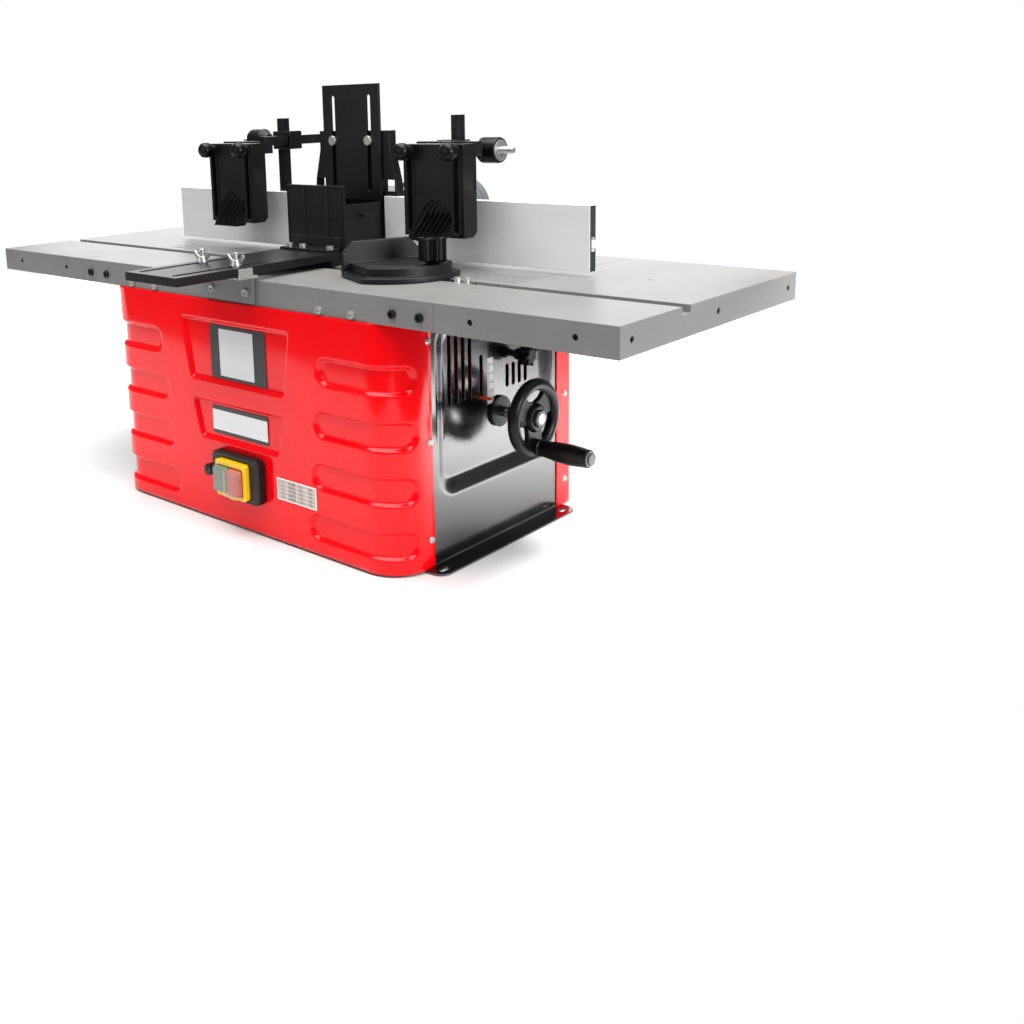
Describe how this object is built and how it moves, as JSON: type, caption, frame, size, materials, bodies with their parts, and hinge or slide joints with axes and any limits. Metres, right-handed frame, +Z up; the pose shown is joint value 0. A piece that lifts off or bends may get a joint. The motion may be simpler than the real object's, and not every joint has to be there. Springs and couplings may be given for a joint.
{
  "type": "spindle moulder",
  "caption": "Bench spindle moulder: folded steel cabinet with handwheel lift, grooved table with wings, split fence with hood, comb hold-downs, front guard and mitre gauge.",
  "frame": {"origin": "on the bench, under the middle of the whole machine's bounding box", "axes": "+X along the table to the operator's right, +Y from the operator to the dust port, +Z up"},
  "size_m": [1.024, 0.545, 0.521],
  "materials": {
    "table_grey": "light grey, finely ground top",
    "insert_steel": "dark turned steel",
    "zinc": "bright zinc plate",
    "red_enamel": "glossy red stove enamel",
    "black_enamel": "semi-gloss black paint",
    "black_plastic": "black moulded plastic",
    "yellow_plastic": "yellow switch plate",
    "green_plastic": "green push button",
    "red_plastic": "red push button",
    "wheel_black": "black moulded handwheel",
    "ground_steel": "ground bar",
    "dark_steel": "blackened steel bar",
    "frame_iron": "grey casting",
    "bronze": "plain bearing bronze",
    "motor_alloy": "cast alloy housing",
    "motor_iron": "laminated iron",
    "bearing_steel": "polished races",
    "grey_plastic": "light grey moulding",
    "fence_alloy": "brushed extrusion"
  },
  "bodies": {
    "frame": {"main_table": "table_grey", "insert_ring": "insert_steel", "left_extension": "table_grey", "right_extension": "table_grey", "table_screws": "zinc", "front_panel": "red_enamel", "rear_panel": "red_enamel", "left_panel": "black_enamel", "right_panel": "black_enamel", "panel_screws": "zinc", "cable_gland": "black_plastic", "switch_housing": "black_plastic", "switch_plate": "yellow_plastic", "guide_columns": "ground_steel", "lift_frame": "frame_iron", "shaft_bearing": "bronze", "guard_rail": "table_grey", "wing_nuts": "zinc"},
    "start": {"start_button": "green_plastic"},
    "stop": {"stop_button": "red_plastic"},
    "dial": {"speed_dial": "black_plastic"},
    "lock": {"lock_knob": "black_plastic"},
    "carriage": {"motor_carrier": "frame_iron", "height_pointer": "ground_steel", "motor_housing": "motor_alloy", "motor_cap": "black_plastic", "motor_stator": "motor_iron", "spindle_bearings": "bearing_steel"},
    "spindle": {"spindle_shaft": "ground_steel", "motor_rotor": "motor_iron", "collet": "ground_steel", "collet_nut": "ground_steel"},
    "screw": {"lead_screw": "ground_steel"},
    "wheel": {"handwheel_shaft": "ground_steel", "handwheel": "wheel_black", "wheel_bolts": "zinc"},
    "grip": {"crank_grip": "wheel_black"},
    "hood": {"fence_hood": "black_plastic", "dust_port": "grey_plastic", "fence_bolts": "zinc"},
    "plate": {"guard_plate": "black_plastic"},
    "front_guard": {"guard_base": "black_plastic", "guard_shield": "black_plastic"},
    "gauge_bar": {"mitre_bar": "ground_steel"},
    "gauge_head": {"mitre_head": "black_plastic"},
    "gauge_knob": {"mitre_knob": "black_plastic"},
    "left_fence": {"left_fence": "fence_alloy", "left_post": "dark_steel"},
    "left_clamp": {"left_clamp": "black_plastic"},
    "left_clamp_knob": {"left_clamp_knob": "black_plastic"},
    "left_arm": {"left_arm": "dark_steel", "left_board_knobs": "black_plastic"},
    "left_board": {"left_featherboard": "black_plastic"},
    "right_fence": {"right_fence": "fence_alloy", "right_post": "dark_steel"},
    "right_clamp": {"right_clamp": "black_plastic"},
    "right_clamp_knob": {"right_clamp_knob": "black_plastic"},
    "right_arm": {"right_arm": "dark_steel", "right_board_knobs": "black_plastic"},
    "right_board": {"right_featherboard": "black_plastic"}
  },
  "joints": [
    {"name": "lift", "type": "slide", "parent": "frame", "child": "carriage", "axis": [0, 0, 1], "range_m": [0, 0.04]},
    {"name": "screw_turn", "type": "hinge", "parent": "frame", "child": "screw", "pos_m": [0.08, 0.0175, 0.15], "axis": [0, 0, 1], "range_deg": [-3601, 0]},
    {"name": "wheel_turn", "type": "hinge", "parent": "frame", "child": "wheel", "pos_m": [0.2, 0.0175, 0.148], "axis": [1, 0, 0], "range_deg": [-3601, 0]},
    {"name": "grip_turn", "type": "hinge", "parent": "wheel", "child": "grip", "pos_m": [0.336, 0.0175, 0.114], "axis": [1, 0, 0], "continuous": true},
    {"name": "spindle_turn", "type": "hinge", "parent": "carriage", "child": "spindle", "pos_m": [0, 0.0625, 0.2], "axis": [0, 0, 1], "continuous": true},
    {"name": "lock_turn", "type": "hinge", "parent": "frame", "child": "lock", "pos_m": [0.262, 0.0425, 0.211], "axis": [1, 0, 0], "range_deg": [0, 360]},
    {"name": "start_press", "type": "slide", "parent": "frame", "child": "start", "axis": [0, 1, 0], "range_m": [0, 0.0035], "stiffness_N_per_m": 600},
    {"name": "stop_press", "type": "slide", "parent": "frame", "child": "stop", "axis": [0, 1, 0], "range_m": [0, 0.0035], "stiffness_N_per_m": 600},
    {"name": "dial_turn", "type": "hinge", "parent": "frame", "child": "dial", "pos_m": [-0.0455, -0.1725, 0.06906], "axis": [0, 1, 0], "range_deg": [0, 300]},
    {"name": "hood_slide", "type": "slide", "parent": "frame", "child": "hood", "axis": [0, 1, 0], "range_m": [0, 0.018]},
    {"name": "plate_slide", "type": "slide", "parent": "hood", "child": "plate", "axis": [0, 0, 1], "range_m": [-0.05, 0.05]},
    {"name": "guard_slide", "type": "slide", "parent": "frame", "child": "front_guard", "axis": [0, 1, 0], "range_m": [-0.04, 0]},
    {"name": "gauge_slide", "type": "slide", "parent": "frame", "child": "gauge_bar", "axis": [1, 0, 0], "range_m": [-0.035, 0.2]},
    {"name": "gauge_turn", "type": "hinge", "parent": "gauge_bar", "child": "gauge_head", "pos_m": [0.15, -0.0465, 0.306], "axis": [0, 0, 1], "range_deg": [-26, 74]},
    {"name": "gauge_knob_turn", "type": "hinge", "parent": "gauge_bar", "child": "gauge_knob", "pos_m": [0.207, -0.0465, 0.338], "axis": [0, 0, 1], "range_deg": [0, 360]},
    {"name": "left_fence_slide", "type": "slide", "parent": "hood", "child": "left_fence", "axis": [-1, 0, 0], "range_m": [0, 0.03]},
    {"name": "left_clamp_slide", "type": "slide", "parent": "left_fence", "child": "left_clamp", "axis": [0, 0, 1], "range_m": [-0.014, 0.015]},
    {"name": "left_clamp_turn", "type": "hinge", "parent": "left_clamp", "child": "left_clamp_knob", "pos_m": [-0.195, 0.0675, 0.452], "axis": [-1, 0, 0], "range_deg": [0, 360]},
    {"name": "left_arm_slide", "type": "slide", "parent": "left_clamp", "child": "left_arm", "axis": [0, 1, 0], "range_m": [-0.03, 0.02]},
    {"name": "left_board_slide", "type": "slide", "parent": "left_arm", "child": "left_board", "axis": [0, 0, 1], "range_m": [0, 0.06]},
    {"name": "right_fence_slide", "type": "slide", "parent": "hood", "child": "right_fence", "axis": [1, 0, 0], "range_m": [0, 0.03]},
    {"name": "right_clamp_slide", "type": "slide", "parent": "right_fence", "child": "right_clamp", "axis": [0, 0, 1], "range_m": [-0.014, 0.027]},
    {"name": "right_clamp_turn", "type": "hinge", "parent": "right_clamp", "child": "right_clamp_knob", "pos_m": [0.195, 0.0675, 0.44], "axis": [1, 0, 0], "range_deg": [0, 360]},
    {"name": "right_arm_slide", "type": "slide", "parent": "right_clamp", "child": "right_arm", "axis": [0, 1, 0], "range_m": [0, 0.02]},
    {"name": "right_board_slide", "type": "slide", "parent": "right_arm", "child": "right_board", "axis": [0, 0, 1], "range_m": [0, 0.06]}
  ],
  "couplings": [
    {"joint": "screw_turn", "follows": "lift", "rad_per_m": -1570.8},
    {"joint": "wheel_turn", "follows": "lift", "rad_per_m": -1570.8}
  ]
}
